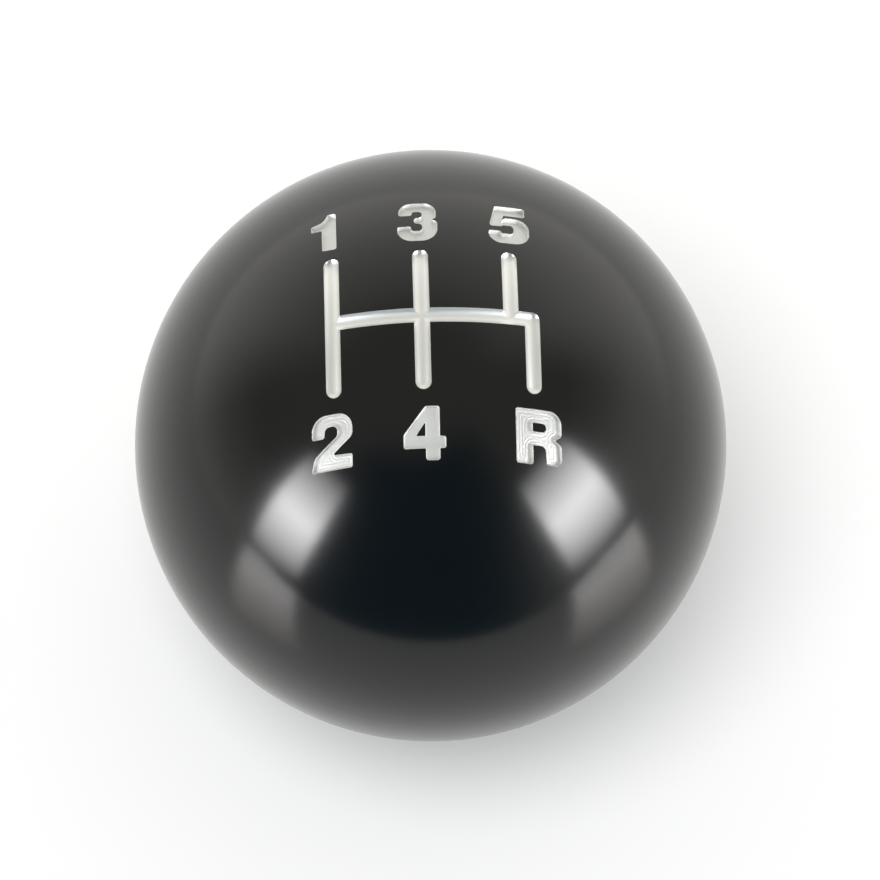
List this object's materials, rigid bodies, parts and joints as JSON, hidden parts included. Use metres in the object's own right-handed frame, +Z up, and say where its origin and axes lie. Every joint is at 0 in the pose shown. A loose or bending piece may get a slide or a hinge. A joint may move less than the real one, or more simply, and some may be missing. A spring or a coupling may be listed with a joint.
{
  "type": "gear shift knob",
  "caption": "Black coated metal ball shift knob, engraved on its crown with a shift gate, with a flat base and a tapped hole for the lever.",
  "frame": {"origin": "centre of the base flat, on the lever's axis", "axes": "+Z up the lever's axis to the crown, -Y towards the driver who reads the gate, +X towards the reverse lane"},
  "size_m": [0.0508, 0.0508, 0.0475],
  "materials": {
    "coated_aluminium": "satin"
  },
  "bodies": {
    "root": {"shift_knob": "coated_aluminium"}
  },
  "joints": []
}
